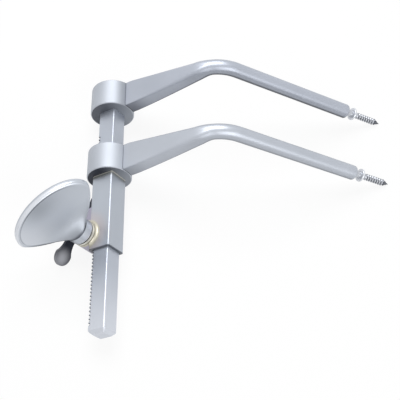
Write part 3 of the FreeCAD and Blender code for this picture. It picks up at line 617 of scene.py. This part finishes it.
def make_key():
    """Hub and plate. The hub is turned. The plate is its outline shrunk towards its middle, with a round
    rim. It swells by a power of the distance to the hub, where its section is the hub's circle, widened
    as the plate widens."""
    angle = around(96)
    hub_tail = [[HUB_END + 0.35, HUB_R], [HUB_END + 0.15, HUB_R - 0.03], [HUB_END, HUB_R - 0.03]]
    hub_face = arc_profile(HUB_FACE - HUB_RIM, HUB_R - HUB_RIM, HUB_RIM, 0, 90, 7)
    hub_rows = np.concatenate([[[HUB_FACE, 0.05]], hub_face, hub_tail])
    reach = hub_rows[:, 1:]
    hub = key_points(reach * np.cos(angle), reach * np.sin(angle), hub_rows[:, :1] + 0 * angle)
    # Painted highlight across the hub near 281 degrees, painted shade towards its sides.
    from_lit = np.abs(np.degrees(angle) - 281)
    hub_painted_shading = np.tile(0.4 * ease((from_lit - 40) / 40) - 0.6 * ease(1 - from_lit / 38), (len(hub_rows), 1))
    # Painted shade on the hub's inner face and where the plate meets it.
    hub_painted_shading[:5] = 0.9
    hub_painted_shading[9:] = 0.8
    turn = around(192)
    sine, cosine = np.sin(turn), np.cos(turn)
    power = 2 / NEAR_POWER
    side = np.where(sine > 0, np.sign(cosine) * np.abs(cosine) ** power, cosine)
    climb = np.where(sine > 0, np.abs(sine) ** power * PLATE_NEAR, sine * PLATE_FAR)
    roll = np.linspace(math.pi / 2, 0, 9)
    face = np.concatenate([[0.02], np.linspace(0.08, 0.88, 44), [0.895, 0.91]])
    share = np.concatenate([face, 1 - PLATE_EDGE / PLATE_MEAN * (1 - np.cos(roll))])
    scale = np.concatenate([share, share[::-1]])[:, None]
    half = np.concatenate([np.full(len(face), PLATE_HALF), PLATE_HALF - PLATE_EDGE * (1 - np.sin(roll))])
    half = np.concatenate([half, half[::-1]])[:, None]
    facing = np.where(np.arange(len(scale)) < len(share), 1, -1)[:, None]
    plate_across = scale * side * PLATE_WIDTH
    plate_level = PLATE_WIDEST + scale * climb
    nearness = np.clip((plate_level - PLATE_WIDEST) / PLATE_NEAR, 0, 1)
    half_width = PLATE_WIDTH * (1 - nearness ** NEAR_POWER) ** (power / 2)
    spread = np.maximum(half_width / HUB_R, 1.0)
    hub_top = np.sqrt(np.clip(HUB_R ** 2 - (plate_across / spread) ** 2, 0, None))
    rising = np.clip((plate_level - HUB_END + SWELL) / SWELL, 0, 1) ** SWELL_POWER
    swell = rising * np.clip(hub_top - 0.03 - half, 0, None) * (scale < RIM_SHARE)
    plate = key_points(plate_across, facing * (half + swell), plate_level)
    outer = ease(0.7 - 1.5 * sine) * ease((0.95 - side) / 0.5)
    # Painted shade in a thin line inside the rim.
    line = 0.55 * outer * ((scale > 0.89) & (scale < 0.92))
    # Painted highlight on the rim.
    rim_highlight = np.where(facing < 0, -0.6, 0.1) * outer * (scale > 0.94)
    # Painted shade and light across the face: darker far from the hub, lighter towards the lower left.
    shade = 0.1 * ease(-scale * sine) - 0.38 * ease(-scale * side) - 0.1 * ease(scale * sine)
    # Painted shade in a band on the far side.
    band = ease(-1.4 * scale * sine) * ease(1 - np.abs(scale * side + 0.1) / 0.7)
    # Painted shade near the hub.
    root = 0.6 * rising ** 0.5 + 0.4 * ease((plate_level - HUB_END + 0.9) / 0.7)
    # Painted shade in a line along the lower rim.
    under = 0.85 * ease(1.6 * sine) * ease(0.3 - 1.3 * side) * (scale > 0.9)
    plate_painted_shading = line + rim_highlight + under + (shade + 0.22 * band + root) * (scale < RIM_SHARE)
    return surface("key_skin", [(hub, hub_painted_shading, False), (plate, plate_painted_shading, False)], "key", ["thumb_key"],
                   key_steel, sharp_deg=40.0)


def dressed(node, body, material, bevel_mm, sharp_deg=28.0):
    """A copy of a solid's own mesh, merged and eased along its edges."""
    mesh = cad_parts[node].data.copy()
    mesh.name = node + "_skin"
    shell = bmesh.new()
    shell.from_mesh(mesh)
    bmesh.ops.remove_doubles(shell, verts=shell.verts, dist=2e-6)
    bmesh.ops.dissolve_limit(shell, angle_limit=math.radians(0.6), verts=shell.verts, edges=shell.edges)
    shell.to_mesh(mesh)
    shell.free()
    mesh.materials.clear()
    mesh.materials.append(material)
    mesh.shade_smooth()
    mesh.set_sharp_from_angle(angle=math.radians(sharp_deg))
    piece = bpy.data.objects.new(node + "_skin", mesh)
    bpy.context.scene.collection.objects.link(piece)
    eased = piece.modifiers.new("eased_edges", "BEVEL")
    eased.width = bevel_mm * MM
    eased.segments = 2
    eased.limit_method = "ANGLE"
    eased.angle_limit = math.radians(sharp_deg)
    even = piece.modifiers.new("even_shading", "WEIGHTED_NORMAL")
    even.keep_sharp = True
    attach(piece, body)
    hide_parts(node)
    return piece


# The third number is the depth of the arm's painted shade: deeper on the fixed arm.
make_arm("fixed_arm_skin", 0.0, 0.9, "frame", "fixed_arm", fixed_arm_steel)
make_arm("sliding_arm_skin", SLIDING_TOP, 0.5, "carriage", "sliding_arm", sliding_arm_steel)
make_screw("fixed_screw_skin", 0.0, "fixed_bone_screw", "fixed_screw")
make_screw("sliding_screw_skin", SLIDING_TOP, "sliding_bone_screw", "sliding_screw")
make_bar()
# The last two numbers are the painted shade under the collar and beside the arm's root.
make_collar("fixed_collar_skin", 0.0, FIXED_HOLE, 0.8, 0.3, "frame", "fixed_collar")
make_collar("sliding_collar_skin", SLIDING_TOP, SLIDING_HOLE, 1.0, 0.05, "carriage", "sliding_collar")
make_key()
dressed("guide_sleeve", "carriage", sleeve_steel, 0.12)
dressed("gear_housing", "carriage", housing_painted_shade_steel, 0.12)
dressed("lock_lever", "catch", lever_painted_shade_steel, 0.15)

INNER_PIECES = {"front_bush": bronze, "rear_bush": bronze, "drive_pinion": bar_steel,
                "rack_dowel_pin": bar_steel, "key_cross_pin": bar_steel, "thrust_washer": bar_steel,
                "lever_pivot_pin": bar_steel, "lever_spring_washer": bar_steel}
for node, material in INNER_PIECES.items():
    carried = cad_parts[node]
    carried.data.materials.clear()
    carried.data.materials.append(material)


# Floor, lights and camera

def make_floor():
    mesh = bpy.data.meshes.new("studio_floor")
    half = 2.5
    corners = [(-half, -half, 0), (half, -half, 0), (half, half, 0), (-half, half, 0)]
    mesh.from_pydata(corners, [], [(0, 1, 2, 3)])
    floor = bpy.data.objects.new("studio_floor", mesh)
    bpy.context.scene.collection.objects.link(floor)
    material = bpy.data.materials.new("pale_paper")
    material.use_nodes = True
    nodes, links = material.node_tree.nodes, material.node_tree.links
    nodes.remove(nodes["Principled BSDF"])
    paper = nodes.new("ShaderNodeBsdfDiffuse")
    paper.inputs["Color"].default_value = (0.9, 0.9, 0.9, 1)
    glow = nodes.new("ShaderNodeEmission")
    glow.inputs["Strength"].default_value = 1.0
    path = nodes.new("ShaderNodeLightPath")
    seen = nodes.new("ShaderNodeMath")
    seen.operation = "MULTIPLY"
    seen.inputs[1].default_value = 0.9
    links.new(path.outputs["Is Camera Ray"], seen.inputs[0])
    share = nodes.new("ShaderNodeMath")
    share.operation = "MULTIPLY_ADD"
    share.inputs[1].default_value = 0.7
    links.new(path.outputs["Is Glossy Ray"], share.inputs[0])
    links.new(seen.outputs[0], share.inputs[2])
    mix = nodes.new("ShaderNodeMixShader")
    links.new(share.outputs[0], mix.inputs["Fac"])
    links.new(paper.outputs[0], mix.inputs[1])
    links.new(glow.outputs[0], mix.inputs[2])
    links.new(mix.outputs[0], nodes["Material Output"].inputs["Surface"])
    mesh.materials.append(material)


def make_world():
    world = bpy.data.worlds.new("studio")
    bpy.context.scene.world = world
    world.use_nodes = True
    nodes, links = world.node_tree.nodes, world.node_tree.links
    background = nodes["Background"]
    background.inputs["Color"].default_value = (1, 1, 1, 1)
    path = nodes.new("ShaderNodeLightPath")
    seen = nodes.new("ShaderNodeMath")
    seen.operation = "MAXIMUM"
    links.new(path.outputs["Is Camera Ray"], seen.inputs[0])
    links.new(path.outputs["Is Glossy Ray"], seen.inputs[1])
    through = nodes.new("ShaderNodeMath")
    through.operation = "MAXIMUM"
    links.new(seen.outputs[0], through.inputs[0])
    links.new(path.outputs["Is Transmission Ray"], through.inputs[1])
    level = nodes.new("ShaderNodeMapRange")
    level.inputs["To Min"].default_value = 0.32
    level.inputs["To Max"].default_value = 1.0
    links.new(through.outputs[0], level.inputs["Value"])
    links.new(level.outputs["Result"], background.inputs["Strength"])


def add_lamp(name, place, target, size, watts):
    lamp = bpy.data.lights.new(name, "AREA")
    lamp.shape = "SQUARE"
    lamp.size = size
    lamp.energy = watts
    holder = bpy.data.objects.new(name, lamp)
    bpy.context.scene.collection.objects.link(holder)
    holder.location = place
    holder.rotation_euler = (Vector(target) - Vector(place)).to_track_quat("-Z", "Y").to_euler()


def add_camera():
    camera = bpy.data.cameras.new("photo_view")
    camera.sensor_width = 36.0
    camera.lens = 74.87
    camera.clip_start = 0.01
    holder = bpy.data.objects.new("photo_view", camera)
    bpy.context.scene.collection.objects.link(holder)
    right, up, back = (0.856, 0.518, -0.014), (0.273, -0.427, 0.862), (0.440, -0.741, -0.507)
    ways = [np.array(way) for way in (right, up, back)]
    origin = lay(np.zeros(3))
    columns = [Vector((lay(way * 1000) - origin).tolist()).normalized() for way in ways]
    place = Vector(lay(np.array([185.59, -237.62, -232.70])).tolist())
    turn = Matrix((columns[0], columns[1], columns[2])).transposed()
    holder.matrix_world = Matrix.Translation(place) @ turn.to_4x4()
    bpy.context.scene.camera = holder


make_floor()
make_world()
add_lamp("key_softbox", (-0.10, 0.30, 0.60), (-0.02, 0.0, 0.01), 0.45, 3.5)
add_lamp("fill_softbox", (0.25, -0.50, 0.35), (0.0, 0.0, 0.01), 0.5, 1.9)
add_camera()
bpy.context.scene.view_settings.view_transform = "Standard"
